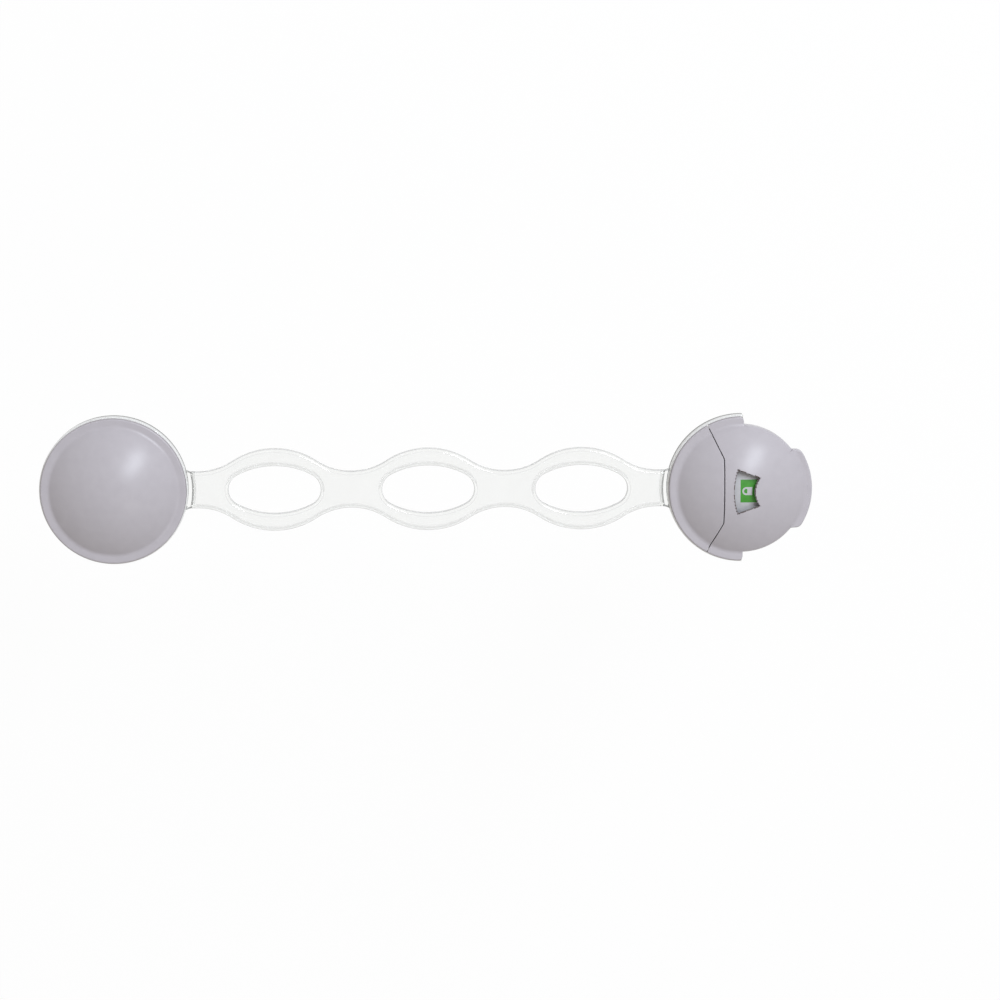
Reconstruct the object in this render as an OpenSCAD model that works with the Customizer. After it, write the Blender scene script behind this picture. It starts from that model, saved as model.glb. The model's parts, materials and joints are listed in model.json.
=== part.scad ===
// Strap lock for a cabinet door: a clear strap of oval links between an anchor dome and a latch dome.
// The latch cover slides away from the strap, and the catch plate under it then frees the stud of the base.
// The strap runs along X, with the anchor at -X and the latch at +X. The pads rest on Z = 0.

/* [Strap] */
// Number of oval links
link_count = 3; // [2:1:5]
// Distance between neighbouring links
link_pitch = 40; // [36:0.5:48]
// Width of a link at its widest point
link_w = 21.6; // [19:0.1:24]
// Width of the strap at its necks
neck_w = 9.6; // [7.5:0.1:11]
// Length of the oval hole in a link
hole_l = 24; // [19:0.5:26]
// Width of the oval hole in a link
hole_w = 12.4; // [9:0.1:14]
// Radius at the two ends of an oval hole
hole_end_r = 4.3; // [3.4:0.1:4.8]
// Length of the strap from its last neck to its living hinge
end_neck = 0.85; // [0.4:0.05:6]
// Thickness of the strap
strap_t = 3; // [2:0.1:3.6]
// Length of a living hinge
web_l = 1.6; // [1.4:0.1:2.6]
// Thickness of a living hinge
web_t = 1.2; // [0.6:0.1:1.6]
// Widening of a living hinge on each side where it meets its disc
web_flare = 0.7; // [0.3:0.1:1.6]

/* [Domes] */
// Diameter of the brim round a dome
brim_d = 38; // [36:0.2:42]
// Width of the brim from the foot of the dome to its edge
brim_w = 2.3; // [2:0.1:2.6]
// Thickness of the brim
brim_t = 1.4; // [1.2:0.1:2]
// Rounding of the upper edge of the brim
brim_edge_r = 0.5; // [0.3:0.05:0.6]
// Height of a dome above its brim
dome_h = 6.6; // [6.2:0.1:8]
// Wall of a dome
shell_t = 1.5; // [1.3:0.1:1.7]
// Fillet between a dome and its brim
blend_r = 1.6; // [1:0.1:1.8]

/* [Base plates] */
// Thickness of an adhesive pad
pad_t = 0.8; // [0.5:0.1:1.5]
// Margin from the edge of an adhesive pad to the edge of its base plate
pad_margin = 0.9; // [0.4:0.1:2]
// Thickness of a base plate
base_t = 1.2; // [1:0.1:2]
// Height from a base plate to the clear collar above it
floor_t = 1.8; // [1.7:0.1:2.4]
// Width of the rim that carries the collar on the anchor base
base_rim_w = 1.6; // [1:0.1:2.5]
// How far the latch base stays inside the wall of the cover
base_inset = 0.3; // [0.1:0.1:1]

/* [Collars] */
// Thickness of the clear end discs
collar_t = 1.2; // [1.1:0.1:1.6]
// Wall of their skirts
skirt_t = 1.4; // [1:0.1:1.6]
// How far a skirt stands out past the brim above it
skirt_lip = 0.3; // [0.1:0.1:0.8]
// Height of the lower edge of a skirt above the mounting surface
skirt_lift = 0.6; // [0.4:0.1:1]

/* [Latch cover] */
// Gap between the cover and the fixed shell
split_gap = 0.35; // [0.25:0.05:0.5]
// Distance of the straight part of that gap from the centre of the dome
split_x = 5; // [4.8:0.1:5.6]
// Half length of the straight part of that gap
split_half_l = 8.4; // [7.5:0.1:9]
// Slant of the two outer parts of that gap
split_angle = 25.7; // [20:0.1:30]
// How far the ears reach past the centre of the dome
ear_x = 0.5; // [0.4:0.1:1.5]
// How far the edge of the thumb tab stays inside the circle of the brim
tab_setback = 0.5; // [0:0.1:1.5]
// Width of the thumb tab
tab_w = 20.6; // [16:0.2:22]
// Thickness of the thumb tab
tab_t = 2.4; // [1.6:0.1:3]
// Rounding of the corners of the thumb tab
tab_corner_r = 2; // [1:0.1:3]
// Rounding of the shoulder between the dome and the wall of the cover
shoulder_r = 2; // [1:0.1:2.5]

/* [Window and tongue] */
// Reach of the window from the centre of the dome towards the strap
window_front = 2.4; // [2:0.1:3]
// Reach of the window from the centre of the dome towards the tab
window_back = 2.8; // [2:0.1:3.2]
// Radius of the front edge of the window
window_front_r = 16.8; // [14:0.2:20]
// Radius of the back edge of the window
window_back_r = 5.8; // [5:0.1:8]
// Half angle between the two sides of the window
window_angle = 19.5; // [16:0.5:22]
// Gap between the cover and the tongue under it
tongue_gap = 1; // [0.9:0.05:1.2]
// Thickness of the tongue
tongue_t = 1.4; // [1:0.1:1.6]
// Width of the tongue
tongue_w = 12.8; // [11.6:0.1:13]
// Gap between the end of the tongue and the screw bosses of the cover
tongue_end_gap = 0.5; // [0.3:0.1:1]
// Length of the root of the tongue inside the fixed shell
tongue_root_l = 3.4; // [2:0.1:4.5]
// Thickness of the printed label on the tongue
label_t = 0.15; // [0.1:0.01:0.2]
// Margin from the label to the edges of the tongue
label_margin = 0.4; // [0.2:0.1:0.8]

/* [Catch] */
// How far the stud's head reaches past its post
stud_overhang = 1.6; // [1.2:0.1:2]
// Height of the straight edge of the stud's head
stud_edge_h = 0.6; // [0.4:0.1:0.8]
// Height of the cone on the stud's head
stud_cone_h = 1.2; // [0.6:0.1:1.4]
// Gap round the stud's post
grip_gap = 0.3; // [0.2:0.05:0.4]
// Gap round the stud's head where it passes through
head_gap = 0.4; // [0.3:0.05:0.5]
// Thickness of the catch plate
catch_t = 1; // [0.8:0.1:1.1]
// Width of the catch plate beside the wide part of its keyhole
catch_side_w = 1.6; // [1.2:0.1:2]
// Width of the catch plate in front of its keyhole
catch_rim = 1.5; // [1:0.1:1.7]
// Strip of the collar between the catch plate's slot and the front screw
collar_strip = 0.9; // [0.6:0.1:1.2]
// How much shorter the travel of the cover is than the radius of the stud's head
travel_margin = 0.7; // [0.4:0.1:1]
// Distance of the spring arms from the centre of the stud, towards the strap
arm_x = 4.4; // [4:0.1:4.6]
// Width of a spring arm beside the catch plate
arm_w = 1.8; // [1.4:0.1:2.2]
// Thickness of the lug that a spring pushes on
lug_t = 1; // [0.8:0.1:1.3]
// Length of the rails that hold the catch plate down
rail_l = 4; // [3:0.1:4.5]
// Wall of those rails
rail_t = 1; // [0.7:0.1:1]
// How far a rail reaches over the catch plate
rail_lip = 0.8; // [0.5:0.1:1.2]

/* [Springs] */
// Outer diameter of a return spring
spring_d = 2.8; // [2.4:0.1:2.9]
// Wire of a return spring
spring_wire = 0.35; // [0.25:0.01:0.4]
// Turns of a return spring
spring_turns = 7; // [5:1:8]
// Length of the latch floor behind the stop of a return spring
post_margin = 2.2; // [1.5:0.1:2.6]

/* [Screws] */
// Diameter of a screw's thread
screw_d = 2.2; // [1.8:0.1:2.4]
// Diameter of a screw's head
screw_head_d = 3.8; // [3.2:0.1:4]
// Height of a screw's head
screw_head_h = 1; // [0.8:0.05:1.05]
// Length of the anchor's screws under their heads
anchor_screw_l = 6; // [5:0.1:6.5]
// Length of the latch's screws under their heads
latch_screw_l = 4; // [3.4:0.1:4.2]
// Diameter of the bosses that the screws bite into
boss_d = 4.6; // [4.2:0.1:4.8]
// Distance of the anchor's screws from the inside of the dome's wall
anchor_screw_inset = 5.2; // [4.2:0.1:8]
// Distance of the latch's screws from the inside of the dome's wall
latch_screw_inset = 0.8; // [0.6:0.1:1]
// Angle between neighbouring screws of the latch
latch_screw_angle = 48; // [46:1:50]
// Distance of the cover's screws from the inside of its wall, towards the tab
cover_screw_inset = 3.4; // [3:0.1:3.6]
// Margin of the catch plate beside the heads of the cover's screws
cover_screw_margin = 0.8; // [0.5:0.1:1.2]

/* [Fits] */
// Gap between sliding pieces
slide_gap = 0.2; // [0.15:0.01:0.25]
// Gap between the clear collars and the pieces that they surround
seat_gap = 0.2; // [0.1:0.05:0.3]
// Room beside the catch plate and its arms
side_gap = 0.6; // [0.4:0.05:0.8]
// Gap between a thread and its hole, and between a spring and its stops
thread_gap = 0.05; // [0.02:0.01:0.1]
// Gap between a screw's shank and a hole that it passes through
shank_gap = 0.2; // [0.1:0.05:0.3]
// Room round a screw's head
screw_head_gap = 0.1; // [0.05:0.05:0.2]
// Seam between a living hinge and its disc
seam_gap = 0.03; // [0.02:0.01:0.05]
// Room between the end of the chassis and the screws of the cover
floor_end_gap = 1.7; // [1:0.1:2]
// Room at the end of a screw
screw_tip_gap = 0.1; // [0.05:0.05:0.3]

/* [Hidden] */
$fn = 96;
// Overrun of every cut
over = 1;
// How far an arc bites into the one that it runs into, so that the two cross cleanly
blend_bite = 0.02;
// Share of the wave's two radii that the links' round takes
link_arc_share = 0.55;
anchor_screw_count = 3;

// Heights of the stack, from the mounting surface up
base_z = pad_t;
floor_z = base_z + base_t;
collar_z = floor_z + floor_t;
brim_z = collar_z + collar_t;
brim_top_z = brim_z + brim_t;
dome_top_z = brim_top_z + dome_h;

// Radii shared by both ends
brim_r = brim_d / 2;
dome_r = brim_r - brim_w;
wall_in_r = dome_r - shell_t;
skirt_r = brim_r + skirt_lip;
seat_r = skirt_r - skirt_t - seat_gap;
hinge_out_r = skirt_r + web_l;
ball_r = (dome_r * dome_r + dome_h * dome_h) / (2 * dome_h);
ball_z = dome_top_z - ball_r;

// Fillet between a dome and its brim
blend_z = brim_top_z + blend_r;
blend_reach = ball_r + blend_r - blend_bite;
blend_x = sqrt(blend_reach * blend_reach - (blend_z - ball_z) * (blend_z - ball_z));
blend_share = ball_r / (ball_r + blend_r);

// Round shoulder of the cover
shoulder_x = dome_r - shoulder_r;
shoulder_ball = ball_r - shoulder_r;
shoulder_rise = sqrt(shoulder_ball * shoulder_ball - shoulder_x * shoulder_x);
shoulder_share = ball_r / shoulder_ball;

// Wave of the strap's outline: a convex arc over each link and a concave one at each neck, in line
wave_depth = (link_w - neck_w) / 2;
wave_r = (link_pitch * link_pitch / 4 + wave_depth * wave_depth) / (2 * wave_depth);
link_r = wave_r * link_arc_share;
neck_r = wave_r - link_r;
wave_x = link_pitch / 2 * link_arc_share;

// Oval hole: two long arcs and two end arcs, in line
hole_a = hole_l / 2;
hole_b = hole_w / 2;
hole_r = (hole_a * hole_a + hole_b * hole_b - 2 * hole_a * hole_end_r) / (2 * (hole_b - hole_end_r));
hole_x = hole_r * (hole_a - hole_end_r) / (hole_r - hole_end_r);

// Places along the strap
tab_r = brim_r - tab_setback;
strap_half_l = link_count * link_pitch / 2 + end_neck;
end_spacing = 2 * (strap_half_l + hinge_out_r);
length = end_spacing + skirt_r + tab_r;
anchor_x = skirt_r - length / 2;
latch_x = length / 2 - tab_r;
strap_x = (anchor_x + latch_x) / 2;
strap_z = brim_z - strap_t;
web_z = brim_z - strap_t / 2 - web_t / 2;

// Split between the fixed shell and the cover
far_y = skirt_r + over;
far_x = split_x + (far_y - split_half_l) * tan(split_angle);

// Cover
cover_z = floor_z + slide_gap;
ear_z = brim_z + slide_gap;
tab_z = brim_top_z - tab_t;
tab_corner_y = tab_w / 2 - tab_corner_r;
tab_corner_x = sqrt((tab_r - tab_corner_r) * (tab_r - tab_corner_r) - tab_corner_y * tab_corner_y);
tab_side_y = tab_corner_y * tab_r / (tab_r - tab_corner_r);

// Screws
anchor_head_z = base_z + screw_head_h + screw_head_gap;
latch_head_z = floor_z + screw_head_h + screw_head_gap;
anchor_screw_r = wall_in_r - anchor_screw_inset;
latch_screw_r = wall_in_r - latch_screw_inset;
cover_screw_x = wall_in_r - cover_screw_inset;

// Catch: the room behind the front screw sets the stud, its keyhole and the travel of the cover
catch_z = collar_z + slide_gap;
stud_head_z = catch_z + catch_t + slide_gap;
catch_front = latch_screw_r - screw_d / 2 - shank_gap - collar_strip - side_gap;
stud_head_r = (catch_front - catch_rim - head_gap + travel_margin) / 2;
stud_r = stud_head_r - stud_overhang;
travel = stud_head_r - travel_margin;
catch_w = 2 * (stud_head_r + head_gap + catch_side_w);
catch_reach = wall_in_r - side_gap;
cover_screw_y = catch_w / 2 - cover_screw_margin - screw_head_d / 2;
rail_x = arm_w - arm_x + travel + side_gap;
rail_y = catch_w / 2 + slide_gap;
spring_y = rail_y + rail_t + slide_gap + spring_d / 2;
arm_root = rail_y + rail_t;
arm_reach = spring_y + spring_d / 2;
rail_top_z = stud_head_z + rail_t;
chassis_reach = cover_screw_x - screw_head_d / 2 - floor_end_gap;
chassis_r = wall_in_r - slide_gap;
half_x = ear_x - slide_gap;

// Window and tongue
window_c = window_front_r - window_front;
tongue_r = ball_r - shell_t - tongue_gap;
tongue_reach = cover_screw_x - boss_d / 2 - tongue_end_gap;

// Springs
spring_z = collar_z + slide_gap + thread_gap + spring_d / 2;
spring_x = lug_t - arm_x;
post_t = lug_t;
post_x = chassis_reach - post_margin - post_t;
spring_l = post_x - spring_x;
coil_r = (spring_d - spring_wire) / 2;
coil_start = spring_x + thread_gap + spring_wire / 2;
coil_l = spring_l - 2 * thread_gap - spring_wire;
ring_count = 8;
wire_sides = 6;

grey = "#bcb7c3";
clear = "#e8ebe6";
foam = "#f4f3ef";
steel = "#9da0a3";

// Shapes shared by both ends

// Area of the dome down to a height, with a straight wall under the dome's edge
module dome_area(ball, wall, low) {
    intersection() {
        translate([0, ball_z]) circle(ball);
        translate([0, low]) square([wall, dome_top_z - low]);
    }
}

// Area of the brim and its fillet, out to an edge and down to a height
module brim_area(edge, low) {
    translate([0, low]) square([edge - brim_edge_r, brim_top_z - low]);
    translate([0, low]) square([edge, brim_top_z - brim_edge_r - low]);
    translate([edge - brim_edge_r, brim_top_z - brim_edge_r]) circle(brim_edge_r);
    difference() {
        translate([blend_x * blend_share, low])
            square([blend_x * (1 - blend_share), ball_z + (blend_z - ball_z) * blend_share - low]);
        translate([blend_x, blend_z]) circle(blend_r);
    }
}

module dome_cavity(low) {
    rotate_extrude() dome_area(ball_r - shell_t, wall_in_r, low - over);
}

// Keeps a piece under the middle of the dome's wall
module under_dome() {
    intersection() {
        children();
        translate([0, 0, ball_z]) sphere(ball_r - shell_t / 2);
    }
}

// Clear end disc with its skirt
module collar() {
    difference() {
        translate([0, 0, skirt_lift]) cylinder(r = skirt_r, h = brim_z - skirt_lift);
        translate([0, 0, skirt_lift - over])
            cylinder(r = skirt_r - skirt_t, h = collar_z - skirt_lift + over);
    }
}

module pad(edge) {
    color(foam) cylinder(r = edge - pad_margin, h = pad_t);
}

// Screw with its head down, standing on the underside of its head
module screw(shank_l) {
    translate([0, 0, -screw_head_h]) cylinder(d = screw_head_d, h = screw_head_h);
    cylinder(d = screw_d, h = shank_l);
}

module boss(low) {
    translate([0, 0, low]) cylinder(d = boss_d, h = dome_top_z - low);
}

module pilot_hole(low, tip) {
    translate([0, 0, low - over])
        cylinder(d = screw_d + 2 * thread_gap, h = tip + screw_tip_gap - low + over);
}

module shank_hole(low, high) {
    translate([0, 0, low - over]) cylinder(d = screw_d + 2 * shank_gap, h = high - low + 2 * over);
}

module head_hole(low, high) {
    translate([0, 0, low - over]) cylinder(d = screw_head_d + 2 * screw_head_gap, h = high - low + over);
}

module at_anchor() {
    translate([anchor_x, 0, 0]) children();
}

module at_latch() {
    translate([latch_x, 0, 0]) children();
}

module at_anchor_screws() {
    for (i = [0 : anchor_screw_count - 1])
        rotate(180 + i * 360 / anchor_screw_count) translate([anchor_screw_r, 0, 0]) children();
}

module at_latch_screws() {
    for (i = [-1 : 1])
        rotate(180 + i * latch_screw_angle) translate([latch_screw_r, 0, 0]) children();
}

module at_cover_screws() {
    for (side = [-1, 1])
        translate([cover_screw_x, side * cover_screw_y, 0]) children();
}

// Anchor

module anchor_pad() {
    at_anchor() pad(seat_r);
}

module anchor_base() {
    color(grey) at_anchor() difference() {
        union() {
            translate([0, 0, base_z]) cylinder(r = seat_r, h = base_t);
            difference() {
                translate([0, 0, base_z]) cylinder(r = seat_r, h = collar_z - base_z);
                translate([0, 0, floor_z]) cylinder(r = seat_r - base_rim_w, h = floor_t + over);
            }
            at_anchor_screws() translate([0, 0, base_z]) cylinder(d = boss_d, h = collar_z - base_z);
        }
        at_anchor_screws() {
            head_hole(base_z, anchor_head_z);
            shank_hole(base_z, collar_z);
        }
    }
}

module anchor_collar() {
    color(clear) at_anchor() difference() {
        collar();
        at_anchor_screws() shank_hole(collar_z, brim_z);
    }
}

module anchor_cap() {
    color(grey) at_anchor() difference() {
        union() {
            difference() {
                rotate_extrude() {
                    dome_area(ball_r, dome_r, brim_z);
                    brim_area(brim_r, brim_z);
                }
                dome_cavity(brim_z);
            }
            under_dome() at_anchor_screws() boss(brim_z);
        }
        at_anchor_screws() pilot_hole(brim_z, anchor_head_z + anchor_screw_l);
    }
}

module anchor_screws() {
    color(steel) at_anchor() at_anchor_screws() translate([0, 0, anchor_head_z]) screw(anchor_screw_l);
}

// Strap

// Common area of a circle and its mirror image across X, which reach out to a half width
module lens(r, half_w) {
    intersection() {
        translate([0, half_w - r]) circle(r);
        translate([0, r - half_w]) circle(r);
    }
}

// The two round notches beside the neck at the origin
module neck_notches() {
    for (side = [-1, 1]) translate([0, side * (neck_w / 2 + neck_r)]) circle(neck_r + blend_bite);
}

module oval_hole() {
    intersection() {
        lens(hole_r, hole_b);
        square([2 * hole_x, hole_w], center = true);
    }
    for (end = [-1, 1]) translate([end * (hole_a - hole_end_r), 0]) circle(hole_end_r + blend_bite);
}

module at_links() {
    for (i = [0 : link_count - 1])
        translate([strap_x + (i - (link_count - 1) / 2) * link_pitch, 0, 0]) children();
}

module at_necks() {
    for (i = [0 : link_count])
        translate([strap_x + (i - link_count / 2) * link_pitch, 0, 0]) children();
}

module strap() {
    color(clear) translate([0, 0, strap_z]) linear_extrude(strap_t) difference() {
        union() {
            at_links() lens(link_r, link_w / 2);
            at_necks() square([link_pitch - 2 * wave_x, link_w], center = true);
        }
        at_necks() neck_notches();
        at_links() oval_hole();
        at_anchor() circle(hinge_out_r);
        at_latch() circle(hinge_out_r);
    }
}

// Living hinge beside a disc at the origin, on its +X side
module web() {
    foot_w = neck_w + 2 * web_flare;
    translate([0, 0, web_z]) linear_extrude(web_t) difference() {
        intersection() {
            circle(hinge_out_r);
            polygon([[0, -foot_w / 2], [skirt_r, -foot_w / 2], [hinge_out_r, -neck_w / 2],
                     [hinge_out_r, neck_w / 2], [skirt_r, foot_w / 2], [0, foot_w / 2]]);
        }
        circle(skirt_r + seam_gap);
    }
}

module anchor_web() {
    color(clear) at_anchor() web();
}

module latch_web() {
    color(clear) at_latch() rotate(180) web();
}

// Latch, fixed pieces

// Plan area on the strap's side of the split, and on the tab's side
module split_side(side) {
    shift = side * split_gap / 2;
    polygon([[shift - far_x, -far_y], [shift - split_x, -split_half_l], [shift - split_x, split_half_l],
             [shift - far_x, far_y], [side * far_y, far_y], [side * far_y, -far_y]]);
}

module latch_pad() {
    at_latch() pad(dome_r - base_inset);
}

module latch_base() {
    color(grey) at_latch() {
        translate([0, 0, base_z]) cylinder(r = dome_r - base_inset, h = base_t);
        translate([0, 0, base_z]) cylinder(r = stud_r, h = stud_head_z + stud_edge_h - base_z);
        translate([0, 0, stud_head_z]) cylinder(r = stud_head_r, h = stud_edge_h);
        translate([0, 0, stud_head_z + stud_edge_h])
            cylinder(r1 = stud_head_r, r2 = stud_r, h = stud_cone_h);
    }
}

// Rail on one side that holds the catch plate down, joined to the stop of the spring beside it
module rail_and_post() {
    translate([rail_x, rail_y, floor_z]) cube([rail_l, rail_t, rail_top_z - floor_z]);
    translate([rail_x, rail_y - rail_lip, stud_head_z]) cube([rail_l, rail_lip + rail_t, rail_t]);
    translate([post_x, rail_y, floor_z])
        cube([post_t, arm_reach - rail_y, spring_z + spring_d / 2 - floor_z]);
}

module latch_chassis() {
    color(grey) at_latch() difference() {
        union() {
            translate([0, 0, floor_z]) linear_extrude(floor_t) {
                intersection() {
                    circle(seat_r);
                    translate([-2 * seat_r, -seat_r]) square([2 * seat_r + half_x, 2 * seat_r]);
                }
                intersection() {
                    circle(chassis_r);
                    translate([0, -chassis_r]) square([chassis_reach, 2 * chassis_r]);
                }
            }
            rail_and_post();
            mirror([0, 1, 0]) rail_and_post();
        }
        translate([0, 0, floor_z - over]) cylinder(r = stud_head_r + head_gap, h = floor_t + 2 * over);
        at_latch_screws() {
            head_hole(floor_z, latch_head_z);
            shank_hole(floor_z, collar_z);
        }
    }
}

module latch_collar() {
    color(clear) at_latch() difference() {
        collar();
        translate([half_x, -far_y, skirt_lift - over])
            cube([far_y, 2 * far_y, brim_z - skirt_lift + 2 * over]);
        translate([0, 0, collar_z - over]) linear_extrude(collar_t + 2 * over) {
            translate([-catch_front - side_gap, -catch_w / 2 - side_gap])
                square([catch_front + side_gap + far_y, catch_w + 2 * side_gap]);
            translate([-arm_x - side_gap, -arm_reach - side_gap])
                square([arm_x + side_gap + far_y, 2 * (arm_reach + side_gap)]);
        }
        at_latch_screws() shank_hole(collar_z, brim_z);
    }
}

// Part of the ball under the window, between two radii and two places along X
module tongue_part(inner, outer, from, to, width) {
    intersection() {
        translate([0, 0, ball_z]) difference() {
            sphere(outer);
            sphere(inner);
        }
        translate([from, -width / 2, brim_z]) cube([to - from, width, dome_h + brim_t]);
    }
}

module front_shell() {
    root_end = -split_x - split_gap;
    root_start = root_end - tongue_root_l;
    color(grey) at_latch() difference() {
        union() {
            intersection() {
                difference() {
                    rotate_extrude() {
                        dome_area(ball_r, dome_r, brim_z);
                        brim_area(brim_r, brim_z);
                    }
                    dome_cavity(brim_z);
                }
                linear_extrude(dome_top_z + over) split_side(-1);
            }
            under_dome() at_latch_screws() boss(brim_z + seat_gap);
            tongue_part(tongue_r - tongue_t, tongue_r, root_start + tongue_t, tongue_reach, tongue_w);
            tongue_part(tongue_r - tongue_t / 2, ball_r - shell_t / 2, root_start, root_end,
                        tongue_w + 2 * tongue_t);
        }
        at_latch_screws() pilot_hole(brim_z, latch_head_z + latch_screw_l);
    }
}

module status_label() {
    from = -split_x + split_gap + label_margin;
    color("white") at_latch() intersection() {
        translate([0, 0, ball_z]) difference() {
            sphere(tongue_r + label_t);
            sphere(tongue_r);
        }
        translate([from, label_margin - tongue_w / 2, brim_z])
            cube([tongue_reach - label_margin - from, tongue_w - 2 * label_margin, dome_h + brim_t]);
    }
}

module latch_screws() {
    color(steel) at_latch() at_latch_screws() translate([0, 0, latch_head_z]) screw(latch_screw_l);
}

// Springs

// Middle of the wire at a step along the coil
function coil_point(step) =
    let (turn = step * 360 / ring_count, along = step / (ring_count * spring_turns))
    [coil_start + coil_l * along, coil_r * cos(turn), coil_r * sin(turn)];

// Corner of the wire's ring at a step
function wire_corner(step, side) =
    let (turn = step * 360 / ring_count, lean = side * 360 / wire_sides, out = spring_wire / 2 * cos(lean))
    coil_point(step) + [spring_wire / 2 * sin(lean), out * cos(turn), out * sin(turn)];

// Least gap between a turn and the next one
function coil_gap() = min([for (step = [0 : ring_count * (spring_turns - 1)])
    norm(coil_point(step + ring_count) - coil_point(step)) - spring_wire]);

module coil() {
    last = ring_count * spring_turns;
    points = [for (step = [0 : last]) for (side = [0 : wire_sides - 1]) wire_corner(step, side)];
    skin = [for (step = [0 : last - 1]) for (side = [0 : wire_sides - 1])
        let (a = step * wire_sides + side, b = step * wire_sides + (side + 1) % wire_sides)
        each [[a, a + wire_sides, b], [b, a + wire_sides, b + wire_sides]]];
    ends = [for (side = [1 : wire_sides - 2])
        each [[0, side, side + 1],
              [last * wire_sides, last * wire_sides + side + 1, last * wire_sides + side]]];
    polyhedron(points, concat(skin, ends));
}

module return_spring_upper() {
    echo(least_gap_between_turns = coil_gap());
    color(steel) at_latch() translate([0, spring_y, spring_z]) coil();
}

module return_spring_lower() {
    color(steel) at_latch() translate([0, -spring_y, spring_z]) coil();
}

// Latch, moving pieces

module catch_plate() {
    color(grey) at_latch() {
        translate([0, 0, catch_z]) linear_extrude(catch_t) difference() {
            union() {
                intersection() {
                    circle(catch_reach);
                    translate([-catch_front, -catch_w / 2]) square([catch_front + catch_reach, catch_w]);
                }
                translate([-arm_x, -arm_root]) square([arm_w, 2 * arm_root]);
                translate([-arm_x, -arm_reach]) square([lug_t, 2 * arm_reach]);
            }
            circle(stud_r + grip_gap);
            translate([-travel, 0]) circle(stud_head_r + head_gap);
            at_cover_screws() circle(d = screw_d + 2 * shank_gap);
        }
        for (side = [-1, 1])
            translate([-arm_x, side * spring_y - spring_d / 2, catch_z])
                cube([lug_t, spring_d, spring_z + spring_d / 2 - catch_z]);
    }
}

// Area of the cover's dome, with its round shoulder and straight wall
module cover_area() {
    contact_x = shoulder_x * shoulder_share;
    contact_z = ball_z + shoulder_rise * shoulder_share;
    shoulder_z = ball_z + shoulder_rise;
    difference() {
        dome_area(ball_r, dome_r, cover_z);
        difference() {
            translate([contact_x, shoulder_z])
                square([dome_r - contact_x + over, contact_z - shoulder_z + over]);
            translate([shoulder_x, shoulder_z]) circle(shoulder_r);
        }
    }
}

// Plan area of the thumb tab, with round corners
module tab_plan() {
    intersection() {
        circle(tab_r);
        translate([0, -tab_side_y]) square([tab_r, 2 * tab_side_y]);
    }
    translate([0, -tab_w / 2]) square([tab_corner_x, tab_w]);
    for (side = [-1, 1]) translate([tab_corner_x, side * tab_corner_y]) circle(tab_corner_r);
}

module window_plan() {
    difference() {
        intersection() {
            translate([window_c, 0]) circle(window_front_r);
            polygon([[window_c, 0], [-window_front_r, (window_c + window_front_r) * tan(window_angle)],
                     [-window_front_r, -(window_c + window_front_r) * tan(window_angle)]]);
        }
        translate([window_back + window_back_r, 0]) circle(window_back_r);
        translate([window_back + window_back_r, -far_y]) square([far_y, 2 * far_y]);
    }
}

module slide_cover() {
    color(grey) at_latch() difference() {
        union() {
            difference() {
                intersection() {
                    union() {
                        rotate_extrude() cover_area();
                        intersection() {
                            rotate_extrude() brim_area(brim_r, ear_z);
                            translate([-far_y, -far_y, 0]) cube([far_y + ear_x, 2 * far_y, dome_top_z]);
                        }
                        intersection() {
                            rotate_extrude() brim_area(tab_r, tab_z);
                            linear_extrude(dome_top_z) tab_plan();
                        }
                    }
                    linear_extrude(dome_top_z + over) split_side(1);
                }
                dome_cavity(cover_z);
                translate([-far_y, -far_y, 0]) cube([far_y + ear_x, 2 * far_y, ear_z]);
                linear_extrude(dome_top_z + over) window_plan();
            }
            under_dome() at_cover_screws() boss(catch_z + catch_t);
        }
        at_cover_screws() pilot_hole(catch_z + catch_t, catch_z + latch_screw_l);
    }
}

module cover_screws() {
    color(steel) at_latch() at_cover_screws() translate([0, 0, catch_z]) screw(latch_screw_l);
}

anchor_pad();
anchor_base();
anchor_collar();
anchor_cap();
anchor_screws();
anchor_web();
strap();
latch_web();
latch_pad();
latch_base();
latch_chassis();
latch_collar();
front_shell();
status_label();
latch_screws();
return_spring_upper();
return_spring_lower();
catch_plate();
slide_cover();
cover_screws();
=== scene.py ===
import json
import math

import bmesh
import bpy
from mathutils import Matrix, Vector


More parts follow.
